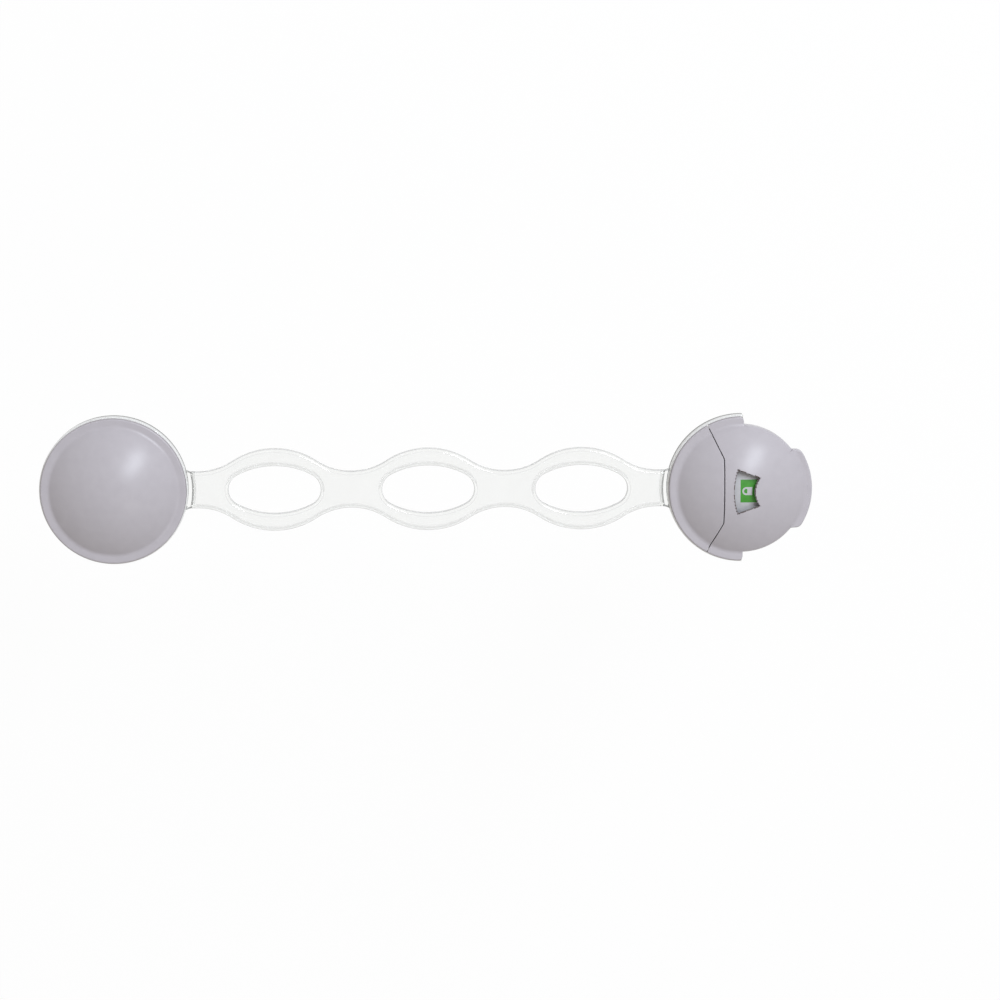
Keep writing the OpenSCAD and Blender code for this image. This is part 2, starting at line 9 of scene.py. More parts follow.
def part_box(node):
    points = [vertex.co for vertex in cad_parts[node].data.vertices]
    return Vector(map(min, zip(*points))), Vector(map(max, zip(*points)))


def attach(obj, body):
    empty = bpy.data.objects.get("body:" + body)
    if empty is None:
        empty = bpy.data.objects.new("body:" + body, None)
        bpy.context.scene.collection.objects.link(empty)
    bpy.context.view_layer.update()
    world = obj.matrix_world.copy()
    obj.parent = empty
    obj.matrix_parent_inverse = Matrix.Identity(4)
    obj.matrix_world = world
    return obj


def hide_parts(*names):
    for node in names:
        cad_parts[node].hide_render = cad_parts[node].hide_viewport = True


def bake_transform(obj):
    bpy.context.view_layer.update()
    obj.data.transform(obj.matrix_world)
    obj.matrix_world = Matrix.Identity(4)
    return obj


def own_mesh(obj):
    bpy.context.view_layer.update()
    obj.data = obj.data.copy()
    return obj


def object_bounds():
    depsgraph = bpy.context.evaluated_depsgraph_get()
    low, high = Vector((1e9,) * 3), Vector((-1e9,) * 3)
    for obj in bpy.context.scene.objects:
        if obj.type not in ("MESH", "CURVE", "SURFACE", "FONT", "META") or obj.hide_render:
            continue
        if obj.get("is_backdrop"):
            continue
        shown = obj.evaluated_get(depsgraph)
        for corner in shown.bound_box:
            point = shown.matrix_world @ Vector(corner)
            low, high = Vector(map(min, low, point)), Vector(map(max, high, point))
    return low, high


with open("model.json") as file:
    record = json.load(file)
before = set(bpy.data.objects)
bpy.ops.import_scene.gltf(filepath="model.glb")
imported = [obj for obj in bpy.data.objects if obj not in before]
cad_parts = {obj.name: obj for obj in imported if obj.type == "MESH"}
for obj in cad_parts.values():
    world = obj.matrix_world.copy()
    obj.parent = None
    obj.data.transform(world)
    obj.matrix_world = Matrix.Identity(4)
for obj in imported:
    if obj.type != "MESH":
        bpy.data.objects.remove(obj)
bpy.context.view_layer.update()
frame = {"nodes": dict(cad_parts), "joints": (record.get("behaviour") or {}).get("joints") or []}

# Adhesive pads
# Two discs of white closed-cell foam tape, die-cut, that glue the lock to the cabinet and to its door.
# The cut edge swells a little between the two glued faces.

MM = 0.001
AROUND = 160
SHARP = math.radians(40)
PAD_EDGE = 0.25
SWELL_ANGLE = 60
SWELL_STEPS = 6
SHADE_RANGE = (0.3, 0.7)
FOAM_TONES = ((0.76, 0.75, 0.72), (0.86, 0.85, 0.82))


def box_mm(node):
    """Lowest and highest corner of a solid at rest, in millimetres."""
    low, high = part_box(node)
    return low / MM, high / MM


def arc(centre, radius, start, end, steps):
    """Points on an arc, from a start to an end angle in degrees."""
    turns = [math.radians(start + (end - start) * i / steps) for i in range(steps + 1)]
    return [(centre[0] + radius * math.cos(t), centre[1] + radius * math.sin(t)) for t in turns]


def cleaned(bm, near=0.001):
    """Merges the points of a mesh that lie on each other, and turns its faces outwards."""
    bmesh.ops.remove_doubles(bm, verts=bm.verts, dist=near)
    bmesh.ops.dissolve_degenerate(bm, edges=bm.edges, dist=near)
    bmesh.ops.recalc_face_normals(bm, faces=bm.faces)
    return bm


def turned(outline):
    """Solid of revolution about Z, from (radius, height) points that start and end on the axis."""
    bm = bmesh.new()
    verts = [bm.verts.new((r, 0, z)) for r, z in outline]
    edges = [bm.edges.new(pair) for pair in zip(verts, verts[1:])]
    bmesh.ops.spin(bm, geom=verts + edges, cent=(0, 0, 0), axis=(0, 0, 1), angle=math.tau, steps=AROUND,
                   use_merge=True)
    return cleaned(bm)


def moved(bm, x):
    """Brings a mesh that was made about the Z axis to its place along the lock."""
    bmesh.ops.translate(bm, verts=bm.verts, vec=(x, 0, 0))
    return bm


def piece_of(bm, name, material):
    """Object for a mesh that was made in millimetres, with its place in the mesh."""
    bmesh.ops.scale(bm, verts=bm.verts, vec=(MM, MM, MM))
    for face in bm.faces:
        face.smooth = True
    for edge in bm.edges:
        edge.smooth = len(edge.link_faces) == 2 and edge.calc_face_angle() < SHARP
    mesh = bpy.data.meshes.new(name)
    bm.to_mesh(mesh)
    bm.free()
    mesh.materials.append(material)
    piece = bpy.data.objects.new(name, mesh)
    bpy.context.scene.collection.objects.link(piece)
    even = piece.modifiers.new("even_shading", "WEIGHTED_NORMAL")
    even.keep_sharp = True
    return piece


class Finish:
    """A material with its shader, and short ways to add nodes to it."""

    def __init__(self, name, **sockets):
        self.material = bpy.data.materials.new(name)
        self.material.use_nodes = True
        self.tree = self.material.node_tree
        self.shader = self.tree.nodes["Principled BSDF"]
        for socket, value in sockets.items():
            self.shader.inputs[socket.replace("_", " ")].default_value = value
        self.place = self.add("ShaderNodeTexCoord").outputs["Object"]

    def add(self, kind, **settings):
        """A new node of a kind, with its settings."""
        node = self.tree.nodes.new(kind)
        for key, value in settings.items():
            setattr(node, key, value)
        return node

    def link(self, source, target):
        """Feeds one socket from another."""
        self.tree.links.new(source, target)

    def noise(self, grain, detail=3):
        """Noise with grains of about that many millimetres."""
        node = self.add("ShaderNodeTexNoise")
        node.inputs["Scale"].default_value = 1 / (grain * MM)
        node.inputs["Detail"].default_value = detail
        self.link(self.place, node.inputs["Vector"])
        return node.outputs["Fac"]

    def shades(self, source, dark, light):
        """Two close shades of a colour, by the value of a noise."""
        node = self.add("ShaderNodeValToRGB")
        for element, position, colour in zip(node.color_ramp.elements, SHADE_RANGE, (dark, light)):
            element.position = position
            element.color = (*colour, 1)
        self.link(source, node.inputs["Fac"])
        return node.outputs["Color"]

    def own(self, name):
        """A value that the faces of a piece carry."""
        return self.add("ShaderNodeAttribute", attribute_name=name).outputs["Fac"]

    def mixed(self, share, first, second):
        """The first colour, turning to the second as a share goes from zero to one."""
        node = self.add("ShaderNodeMixRGB")
        for source, name in ((share, "Fac"), (first, "Color1"), (second, "Color2")):
            self.link(source, node.inputs[name])
        return node.outputs["Color"]

    def colour(self, source):
        """The colour of the surface, from a source."""
        self.link(source, self.shader.inputs["Base Color"])

    def ranged(self, socket, source, low, high):
        """One value of the shader, from low to high as a source goes from zero to one."""
        node = self.add("ShaderNodeMapRange")
        node.inputs["To Min"].default_value = low
        node.inputs["To Max"].default_value = high
        self.link(source, node.inputs["Value"])
        self.link(node.outputs["Result"], self.shader.inputs[socket])

    def bump(self, source, height):
        """Relief of about that many millimetres."""
        node = self.add("ShaderNodeBump")
        node.inputs["Distance"].default_value = height * MM
        self.link(source, node.inputs["Height"])
        self.link(node.outputs["Normal"], self.shader.inputs["Normal"])


foam = Finish("white_foam_tape", Roughness=0.85, Specular_IOR_Level=0.3)
foam.colour(foam.shades(foam.noise(grain=0.5), *FOAM_TONES))
foam.bump(foam.noise(grain=0.25, detail=4), height=0.06)

for end in ("anchor", "latch"):
    low, high = box_mm(end + "_pad")
    rim = (high.x - low.x) / 2 - PAD_EDGE
    swell = arc((rim, (low.z + high.z) / 2), PAD_EDGE, -SWELL_ANGLE, SWELL_ANGLE, SWELL_STEPS)
    pad = turned([(0, low.z), (rim, low.z), *swell, (rim, high.z), (0, high.z)])
    pad = piece_of(moved(pad, (low.x + high.x) / 2), end + "_foam_pad", foam.material)
    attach(pad, end)
    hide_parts(end + "_pad")

# Inner mouldings and screws
# Base plates, latch floor and catch plate are plain grey mouldings, and the screws are zinc-plated steel.
# They sit inside the two domes, and only their edges can be seen from below.

BODY_TONES = ((0.470, 0.447, 0.482), (0.490, 0.467, 0.502))
# The dark brown tones are painted shade, for the outer edges of the brims and the rim and walls of the
# cover's window.
GREY_SHADE_TONES = ((0.095, 0.07, 0.07), (0.13, 0.10, 0.10))
ZINC_TONES = ((0.56, 0.57, 0.58), (0.67, 0.68, 0.69))

grey = Finish("lilac_grey_moulding", Specular_IOR_Level=0.34)
body_tone = grey.shades(grey.noise(grain=2.5), *BODY_TONES)
grey_shade_tone = grey.shades(grey.noise(grain=0.8), *GREY_SHADE_TONES)
# Where faces carry a cut share, the dark tones are painted over the body tone as painted shade.
grey.colour(grey.mixed(grey.own("cut"), body_tone, grey_shade_tone))
grey.ranged("Roughness", grey.noise(grain=1.2), low=0.29, high=0.34)
grey.bump(grey.noise(grain=0.12, detail=2), height=0.003)

zinc = Finish("zinc_plated_steel", Metallic=1.0)
zinc.colour(zinc.shades(zinc.noise(grain=0.6), *ZINC_TONES))
zinc.ranged("Roughness", zinc.noise(grain=0.3), low=0.28, high=0.42)


def dress(nodes, finish):
    """Gives solids that keep their own mesh a finish."""
    for node in nodes:
        slots = frame["nodes"][node].data.materials
        slots.clear()
        slots.append(finish.material)


dress(("anchor_base", "latch_base", "latch_chassis", "catch_plate"), grey)
dress(("anchor_screws", "latch_screws", "cover_screws"), zinc)

# Clear end discs
# The two ends of the clear strap: a disc with a skirt, clamped between the base and the grey dome above it.
# They are moulded in one piece with the strap, in a soft clear plastic, with painted shade darkening its
# edges.

SKIRT_T = 1.4
DISC_T = 1.2
SKIRT_EDGE = 0.35
SKIRT_EDGE_STEPS = 4
SKIRT_RINGS = 16
SKIRT_FOOT = 1.5
FOOT_FADE = 2.0
# Painted shade of the skirt's foot and of its outside.
FOOT_TINT = 0.85
SKIRT_TINT = 0.16
SKIRT_HAZE = 0.85
CUT_FACE = 0.99
SLOT_GAP = 0.6
CLEAR_TONES = ((0.945, 0.95, 0.94), (0.96, 0.965, 0.955))
CLEAR_SHADE_TONES = ((0.20, 0.20, 0.195), (0.26, 0.26, 0.25))

clear = Finish("clear_flexible_plastic", IOR=1.48)
clear_tone = clear.shades(clear.noise(grain=6.0), *CLEAR_TONES)
# The dark tones are painted shade: the outlines and fine lines of the clear plastic, laid on faces by their
# edge share.
clear_shade_tone = clear.shades(clear.noise(grain=1.5), *CLEAR_SHADE_TONES)
clear.colour(clear.mixed(clear.own("edge"), clear_tone, clear_shade_tone))
clear.ranged("Roughness", clear.noise(grain=3.0), low=0.03, high=0.07)
veil = clear.add("ShaderNodeMath", operation="MAXIMUM")
clear.link(clear.own("edge"), veil.inputs[0])
clear.link(clear.own("haze"), veil.inputs[1])
clear.ranged("Transmission Weight", veil.outputs["Value"], low=1.0, high=0.0)
clear.ranged("Specular IOR Level", veil.outputs["Value"], low=0.5, high=0.0)
clear.bump(clear.noise(grain=5.0, detail=1), height=0.006)


def tinted(bm, name, tint):
    """Gives each face a value, from its normal and its middle."""
    layer = bm.faces.layers.float.new(name)
    bm.normal_update()
    for face in bm.faces:
        face[layer] = tint(face.normal, face.calc_center_median())
    return bm


def spread(start, end, steps):
    """Evenly spaced values from a start to an end."""
    return [start + (end - start) * k / steps for k in range(steps + 1)]


def collar_outline(radius, low, high):
    """Half section of an end disc, with its skirt."""
    inner = radius - SKIRT_T
    under = high - DISC_T
    e = SKIRT_EDGE
    steps = SKIRT_EDGE_STEPS
    return [(0, under), (inner - e, under), *arc((inner - e, under - e), e, 90, 0, steps),
            *arc((inner + e, low + e), e, 180, 270, steps), *arc((radius - e, low + e), e, 270, 360, steps),
            *((radius, z) for z in spread(low + e, high - e, SKIRT_RINGS)[1:-1]),
            *arc((radius - e, high - e), e, 0, 90, steps), (0, high)]


def on_cut(normal, middle):
    """Whether a face lies on the square cut of the latch's half disc."""
    return normal.x > CUT_FACE and abs(middle.x) < skirt_r / 2


def foot_share(normal, middle):
    """One at the foot of a skirt, fading out above it, and none on the square cut."""
    share = (skirt_low + SKIRT_FOOT + FOOT_FADE - middle.z) / FOOT_FADE
    return 0 if on_cut(normal, middle) else min(max(share, 0), 1)


def clear_inside(normal, middle):
    """Whether a face lies inside the skirt, where the disc stays clear."""
    return middle.xy.length < skirt_r - SKIRT_EDGE and not on_cut(normal, middle)


def collar_tint(normal, middle):
    """Painted shade: the outside of the skirt is painted a little darker, and much darker towards its foot,
    where the grey base lies behind it.
    """
    if clear_inside(normal, middle):
        return 0
    return SKIRT_TINT + (FOOT_TINT - SKIRT_TINT) * foot_share(normal, middle)


def collar_haze(normal, middle):
    """The skirt looks milky from outside, and dull at its foot."""
    if clear_inside(normal, middle):
        return 0
    return SKIRT_HAZE + (1 - SKIRT_HAZE) * foot_share(normal, middle)


def carved(bm, cutter, operation="DIFFERENCE"):
    """The first mesh cut by, or joined with, the second. Both are closed."""
    objects = []
    for part in (bm, cutter):
        mesh = bpy.data.meshes.new("cutting")
        part.to_mesh(mesh)
        part.free()
        objects.append(bpy.data.objects.new("cutting", mesh))
        bpy.context.scene.collection.objects.link(objects[-1])
    cut = objects[0].modifiers.new("cut", "BOOLEAN")
    cut.operation = operation
    cut.solver = "EXACT"
    cut.object = objects[1]
    result = bmesh.new()
    result.from_object(objects[0], bpy.context.evaluated_depsgraph_get())
    for used in objects:
        mesh = used.data
        bpy.data.objects.remove(used)
        bpy.data.meshes.remove(mesh)
    return cleaned(result, near=0.003)


def raised(bm, height):
    """Closed solid from a flat sheet, by its height along Z."""
    top = bmesh.ops.extrude_face_region(bm, geom=bm.faces[:], use_keep_orig=True)
    top = [v for v in top["geom"] if isinstance(v, bmesh.types.BMVert)]
    bmesh.ops.translate(bm, verts=top, vec=(0, 0, height))
    bmesh.ops.recalc_face_normals(bm, faces=bm.faces)
    return bm


def prism(outline, low, high):
    """Upright solid over an outline of (x, y) points."""
    bm = bmesh.new()
    bm.faces.new([bm.verts.new((x, y, low)) for x, y in outline])
    return raised(bm, high - low)


def block(x0, x1, half_y, low, high):
    """Box that reaches as far to both sides of the X axis."""
    return prism([(x0, -half_y), (x1, -half_y), (x1, half_y), (x0, half_y)], low, high)


low, high = box_mm("anchor_collar")
skirt_low = low.z
anchor_x = (low.x + high.x) / 2
skirt_r = (high.x - low.x) / 2
anchor_disc = tinted(turned(collar_outline(skirt_r, low.z, high.z)), "edge", collar_tint)
anchor_disc = tinted(anchor_disc, "haze", collar_haze)
anchor_disc = piece_of(moved(anchor_disc, anchor_x), "anchor_clear_disc", clear.material)
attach(anchor_disc, "anchor")
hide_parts("anchor_collar")

# The latch's disc is half of one, cut square behind the ears, with a slot for the catch plate and its arms.
low, high = box_mm("latch_collar")
skirt_low = low.z
latch_x = low.x + skirt_r
catch_low, catch_high = box_mm("catch_plate")
latch_disc = turned(collar_outline(skirt_r, low.z, high.z))
latch_disc = carved(latch_disc, block(high.x - latch_x, 2 * skirt_r, 2 * skirt_r, -high.z, 2 * high.z))
latch_disc = carved(latch_disc, block(catch_low.x - latch_x - SLOT_GAP, skirt_r, catch_high.y + SLOT_GAP,
                                      high.z - 2 * DISC_T, 2 * high.z))
latch_disc = tinted(tinted(latch_disc, "edge", collar_tint), "haze", collar_haze)
latch_disc = piece_of(moved(latch_disc, latch_x), "latch_clear_half_disc", clear.material)
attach(latch_disc, "latch")
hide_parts("latch_collar")

# Anchor dome
# The plain cap of the lock's fixed end: a satin lilac-grey shell with a thin brim and a soft fillet.
# It is screwed on from below, so nothing breaks its surface.

BRIM_T = 1.4
BRIM_W = 2.3
BRIM_EDGE = 0.5
BRIM_EDGE_STEPS = 6
LOWER_EDGE = 0.2
LOWER_EDGE_STEPS = 3
# Painted shade along the lower outer edge of the brim.
RIM_TINT = 0.4
RIM_SLOPE = 0.75
FILLET = 1.6
FILLET_STEPS = 8
WALL = 1.5
DOME_RINGS = 28

low, high = box_mm("anchor_cap")
brim_r = (high.x - low.x) / 2
brim_z = low.z
brim_top = brim_z + BRIM_T
dome_top = high.z
dome_r = brim_r - BRIM_W
dome_h = dome_top - brim_top
ball_r = (dome_r ** 2 + dome_h ** 2) / (2 * dome_h)
ball_z = dome_top - ball_r
fillet_z = brim_top + FILLET
fillet_r = math.sqrt((ball_r + FILLET) ** 2 - (fillet_z - ball_z) ** 2)
fillet_angle = math.degrees(math.atan2(fillet_z - ball_z, fillet_r))
wall_in = dome_r - WALL
wall_angle = math.degrees(math.acos(wall_in / (ball_r - WALL)))

inner_ball = arc((0, ball_z), ball_r - WALL, wall_angle, 90, DOME_RINGS)
brim_fillet = arc((fillet_r, fillet_z), FILLET, 180 + fillet_angle, 270, FILLET_STEPS)
dome_section = [*arc((0, ball_z), ball_r, 90, fillet_angle, DOME_RINGS), *brim_fillet,
                *arc((brim_r - BRIM_EDGE, brim_top - BRIM_EDGE), BRIM_EDGE, 90, 0, BRIM_EDGE_STEPS),
                *arc((brim_r - LOWER_EDGE, brim_z + LOWER_EDGE), LOWER_EDGE, 0, -90, LOWER_EDGE_STEPS),
                (wall_in, brim_z), *inner_ball]


def rim_tint(normal, middle):
    """Painted shade: a darker line on the lower, outer edge of a brim."""
    return RIM_TINT if middle.xy.length > brim_r - BRIM_EDGE and normal.z < RIM_SLOPE else 0


dome = tinted(turned(dome_section), "cut", rim_tint)
dome = piece_of(moved(dome, anchor_x), "anchor_dome", grey.material)
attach(dome, "anchor")
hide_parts("anchor_cap")

# Strap
# Three oval links in one soft clear moulding, with well rounded edges. Painted shade draws its outline and
# a second fine line inside it, where the rounding starts, and its two ends follow the round of the end
# discs.

LINKS = 3
LINK_PITCH = 40.0
LINK_W = 21.6
NECK_W = 9.6
LINK_ARC_SHARE = 0.55
HOLE_L = 24.0
HOLE_W = 12.4
HOLE_END_R = 4.3
STRAP_EDGE = 1.0
EDGE_RINGS = 5
SIDE_STEPS = 180
END_STEPS = 12
HOLE_STEPS = 40
HOLE_END_STEPS = 16
# Painted shade of the strap: a faint tone on its flats, a fine inner line and a darker outline.
FLAT_TINT = 0.035
INNER_LINE_TINT = 0.16
OUTER_LINE_TINT = 0.45
FLAT_LEAN = 2
WALL_LEAN = 55

strap_low, strap_high = box_mm("strap")
strap_x = (strap_low.x + strap_high.x) / 2
hinge_r = strap_low.x - anchor_x
half_pitch = LINK_PITCH / 2
wave_depth = (LINK_W - NECK_W) / 2
wave_r = (half_pitch ** 2 + wave_depth ** 2) / (2 * wave_depth)
link_r = wave_r * LINK_ARC_SHARE
neck_r = wave_r - link_r
hole_a = HOLE_L / 2
hole_b = HOLE_W / 2
hole_r = (hole_a ** 2 + hole_b ** 2 - 2 * hole_a * HOLE_END_R) / (2 * (hole_b - HOLE_END_R))
hole_lean = math.degrees(math.atan2(hole_a - HOLE_END_R, hole_r - hole_b))
middles = [strap_x + (i - (LINKS - 1) / 2) * LINK_PITCH for i in range(LINKS)]


def half_width(x):
    """Half width of the strap at a place along X."""
    off = min(min(abs(x - middle) for middle in middles), half_pitch)
    if off < half_pitch * LINK_ARC_SHARE:
        return LINK_W / 2 - link_r + math.sqrt(link_r ** 2 - off ** 2)
    return NECK_W / 2 + neck_r - math.sqrt(neck_r ** 2 - (half_pitch - off) ** 2)


def strap_rim(depth):
    """Outline of the strap, drawn in by a depth all round. Its ends run round the end discs."""
    edge = NECK_W / 2 - depth
    down = spread(edge, -edge, END_STEPS)
    reach = hinge_r + depth
    left = [(anchor_x + math.sqrt(reach ** 2 - y ** 2), y) for y in down]
    right = [(latch_x - math.sqrt(reach ** 2 - y ** 2), -y) for y in down]
    upper = []
    for x in spread(middles[-1] + half_pitch, middles[0] - half_pitch, SIDE_STEPS):
        slope = (half_width(x + MM) - half_width(x - MM)) / (2 * MM)
        lean = math.hypot(slope, 1)
        upper.append((x + depth * slope / lean, half_width(x) - depth / lean))
    return [*upper, *left, *((x, -y) for x, y in reversed(upper)), *right]


def link_hole(middle, depth):
    """Outline of a link's hole, widened by a depth."""
    side = arc((middle, hole_b - hole_r), hole_r + depth, 90 - hole_lean, 90 + hole_lean, HOLE_STEPS)
    end_x = middle - hole_a + HOLE_END_R
    end = arc((end_x, 0), HOLE_END_R + depth, 90 + hole_lean, 270 - hole_lean, HOLE_END_STEPS)
    half = side + end[1:-1]
    return half + [(2 * middle - x, -y) for x, y in half]


def strap_tint(normal, middle):
    """Painted shade: a fine line where the rounding of an edge starts, a darker one along the wall, and a
    faint tone on the flats.
    """
    up = abs(normal.z)
    first_ring_lean = 90 / EDGE_RINGS - FLAT_LEAN
    if up > math.cos(math.radians(FLAT_LEAN)):
        return FLAT_TINT
    if up > math.cos(math.radians(first_ring_lean)):
        return INNER_LINE_TINT
    return OUTER_LINE_TINT if up < math.cos(math.radians(WALL_LEAN)) else 0


corner = STRAP_EDGE
profile = [*arc((corner, strap_high.z - corner), corner, 90, 180, EDGE_RINGS),
           *arc((corner, strap_low.z + corner), corner, 180, 270, EDGE_RINGS)]
bm = bmesh.new()
flats = ([], [])
for outline in (strap_rim, *(lambda depth, x=x: link_hole(x, depth) for x in middles)):
    rings = []
    for depth, z in profile:
        verts = [bm.verts.new((x, y, z)) for x, y in outline(depth)]
        rings.append([bm.edges.new(pair) for pair in zip(verts, verts[1:] + verts[:1])])
    for one, two in zip(rings, rings[1:]):
        bmesh.ops.bridge_loops(bm, edges=one + two)
    for flat, ring in zip(flats, (rings[0], rings[-1])):
        flat.extend(ring)
for flat in flats:
    bmesh.ops.triangle_fill(bm, edges=flat, use_beauty=True)
cleaned(bm)
strap = piece_of(tinted(bm, "edge", strap_tint), "strap_links", clear.material)
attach(strap, "strap")
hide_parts("strap")

# Living hinges
# Thin bridges of the same clear moulding between the strap and its two end discs, with flared feet.
# The real ones bend round a cabinet's corner; these are built flat, with a groove beside the strap in
# painted shade.

WEB_STEPS = 12
WEB_TUCK = 0.15
WEB_FLARE = 0.7
# Painted shade of the hinges: a dark groove band and a fine line along both sides.
GROOVE_SHARES = (0.6, 0.82)
GROOVE_HALF = 4.1
GROOVE_TINT = 0.58
SIDE_LINE = 0.3
SIDE_TINT = 0.5

foot_r = skirt_r - SKIRT_EDGE
tip_r = hinge_r + STRAP_EDGE


def web_tint(normal, middle):
    """Painted shade: a dark band for the groove, with a fine line along both sides as far as the strap."""
    share = ((middle.xy - Vector((disc_x, 0))).length - foot_r) / (tip_r - foot_r)
    if GROOVE_SHARES[0] < share < GROOVE_SHARES[1] and abs(middle.y) < GROOVE_HALF:
        return GROOVE_TINT
    return SIDE_TINT if share < GROOVE_SHARES[0] and abs(middle.y) > NECK_W / 2 - SIDE_LINE else 0


for end, disc_x, way in (("anchor", anchor_x, 1), ("latch", latch_x, -1)):
    low, high = box_mm(end + "_web")
    bm = bmesh.new()
    bmesh.ops.create_grid(bm, x_segments=WEB_STEPS, y_segments=2 * WEB_STEPS, size=1)
    for v in bm.verts:
        share = (v.co.x + 1) / 2
        reach = foot_r + (tip_r - foot_r) * share
        side = v.co.y * (NECK_W / 2 + WEB_FLARE * (1 - share) ** 2 - WEB_TUCK * share)
        v.co = (disc_x + way * math.sqrt(reach ** 2 - side ** 2), side, low.z)
    bm = tinted(raised(bm, high.z - low.z), "edge", web_tint)
    web = piece_of(bm, end + "_living_hinge", clear.material)
    start, stop = ((disc_x + way * r) * MM for r in (skirt_r, hinge_r))
    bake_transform(web)
    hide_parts(end + "_web")

# Return springs
# Two small coils of drawn spring wire that close the cover. They stand between the arms of the catch plate
# and two stops on the latch floor. The real ones shorten when the cover is pulled; these keep their length.

WIRE = 0.35
TURNS = 7
TURN_STEPS = 28
WIRE_SIDES = 10
WIRE_TONES = ((0.5, 0.51, 0.52), (0.6, 0.61, 0.62))

wire = Finish("drawn_spring_wire", Metallic=1.0)
wire.colour(wire.shades(wire.noise(grain=0.4), *WIRE_TONES))
wire.ranged("Roughness", wire.noise(grain=0.2), low=0.22, high=0.36)

travel = frame["joints"][0]["range_m"][1] / MM
for side in ("upper", "lower"):
    low, high = box_mm("return_spring_" + side)
    axis = (low + high) / 2
    coil_r = (high.z - low.z - WIRE) / 2
    steps = TURNS * TURN_STEPS
    rise = (high.x - low.x - WIRE) / steps
    bm = bmesh.new()
    start = Vector((low.x + WIRE / 2, axis.y, axis.z + coil_r))
    bmesh.ops.create_circle(bm, cap_ends=True, segments=WIRE_SIDES, radius=WIRE / 2,
                            matrix=Matrix.Translation(start) @ Matrix.Rotation(math.pi / 2, 4, "X"))
    bmesh.ops.spin(bm, geom=bm.faces[:] + bm.edges[:] + bm.verts[:], cent=(low.x, axis.y, axis.z),
                   axis=(1, 0, 0), dvec=(rise, 0, 0), angle=TURNS * math.tau, steps=steps)
    bmesh.ops.holes_fill(bm, edges=[e for e in bm.edges if e.is_boundary])
    bmesh.ops.recalc_face_normals(bm, faces=bm.faces)
    coil = piece_of(bm, "return_coil_" + side, wire.material)
    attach(coil, "latch")
    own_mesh(coil)
    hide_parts("return_spring_" + side)

# Front shell of the latch
# The fixed part of the latch dome, on the strap's side. Its edge is cut straight across and slants back
# at both sides, and a tongue runs from it under the window of the cover.

SPLIT_X = 5.0
SPLIT_HALF = 8.4
SPLIT_SLANT = 25.7
SPLIT_ROUND = 2.0
SPLIT_ROUND_STEPS = 6
SPLIT_GAP = 0.24
CRISP_EDGE = 0.07
SAME_PLANE = math.radians(0.2)
TONGUE_GAP = 1.0
TONGUE_T = 1.4
TONGUE_W = 12.8
TONGUE_ROOT = 3.4
TONGUE_MARGIN = 0.4


def softened(bm, offset, chosen):
    """Takes the sharpness off the hard edges of a cut piece."""
    bmesh.ops.dissolve_limit(bm, angle_limit=SAME_PLANE, verts=bm.verts, edges=bm.edges)
    bm.normal_update()
    edges = [e for e in bm.edges if len(e.link_faces) == 2 and e.calc_face_angle() > SHARP and chosen(e)]
    bmesh.ops.bevel(bm, geom=edges, offset=offset, offset_type="OFFSET", segments=2, profile=0.5,
                    affect="EDGES", clamp_overlap=False, material=-1)
    return bm


def strap_side(shift):
    """Prism over the strap's side of the split, about the centre of the latch."""
    far = 2 * skirt_r
    edge = shift - SPLIT_X
    bend_y = SPLIT_HALF - SPLIT_ROUND * math.tan(math.radians(SPLIT_SLANT / 2))
    bend = arc((edge - SPLIT_ROUND, bend_y), SPLIT_ROUND, 0, SPLIT_SLANT, SPLIT_ROUND_STEPS)
    slant_x = edge - (far - SPLIT_HALF) * math.tan(math.radians(SPLIT_SLANT))
    half = [*bend, (slant_x, far), (-2 * far, far)]
    return prism([*half, *((x, -y) for x, y in reversed(half))], -far, far)


def ball_plate(outer, inner, x0, x1, width):
    """Curved plate between two radii about the dome's centre, for a stretch along X."""
    bm = bmesh.new()
    bmesh.ops.create_grid(bm, x_segments=DOME_RINGS, y_segments=DOME_RINGS, size=0.5)
    for v in bm.verts:
        x, y = x0 + (x1 - x0) * (v.co.x + 0.5), width * v.co.y
        v.co = (x, y, ball_z + math.sqrt(outer ** 2 - x ** 2 - y ** 2))
    below = bmesh.ops.extrude_face_region(bm, geom=bm.faces[:], use_keep_orig=True)
    for v in below["geom"]:
        if isinstance(v, bmesh.types.BMVert):
            v.co.z = ball_z + math.sqrt(inner ** 2 - v.co.x ** 2 - v.co.y ** 2)
    bmesh.ops.recalc_face_normals(bm, faces=bm.faces)
    return bm


dome_centre = Vector((0, 0, ball_z))


def on_the_outside(edge):
    """Whether an edge lies on the outer half of the dome's wall."""
    return all((v.co - dome_centre).length > ball_r - WALL / 2 for v in edge.verts)


tongue_r = ball_r - WALL - TONGUE_GAP
label_low, label_high = box_mm("status_label")
tongue_end = label_high.x - latch_x + TONGUE_MARGIN
root_end = -SPLIT_X - SPLIT_GAP
root_start = root_end - TONGUE_ROOT
tongue_in = tongue_r - TONGUE_T
root_in = tongue_r - TONGUE_T / 2
front = carved(turned(dome_section), strap_side(-SPLIT_GAP / 2), "INTERSECT")
for outer, inner, stop in ((ball_r - WALL / 2, root_in, root_end), (tongue_r, tongue_in, tongue_end)):
    front = carved(front, ball_plate(outer, inner, root_start, stop, TONGUE_W), "UNION")
# The brim edge of the front shell carries the same painted shade line.
front = tinted(softened(front, CRISP_EDGE, on_the_outside), "cut", rim_tint)
front_shell = piece_of(moved(front, latch_x), "latch_front_shell", grey.material)
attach(front_shell, "latch")
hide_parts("front_shell")

# Status label
# Printed white film on the tongue. The window shows a green field with a closed padlock while the cover is
# shut, and a red field with an open one when it is pulled back.

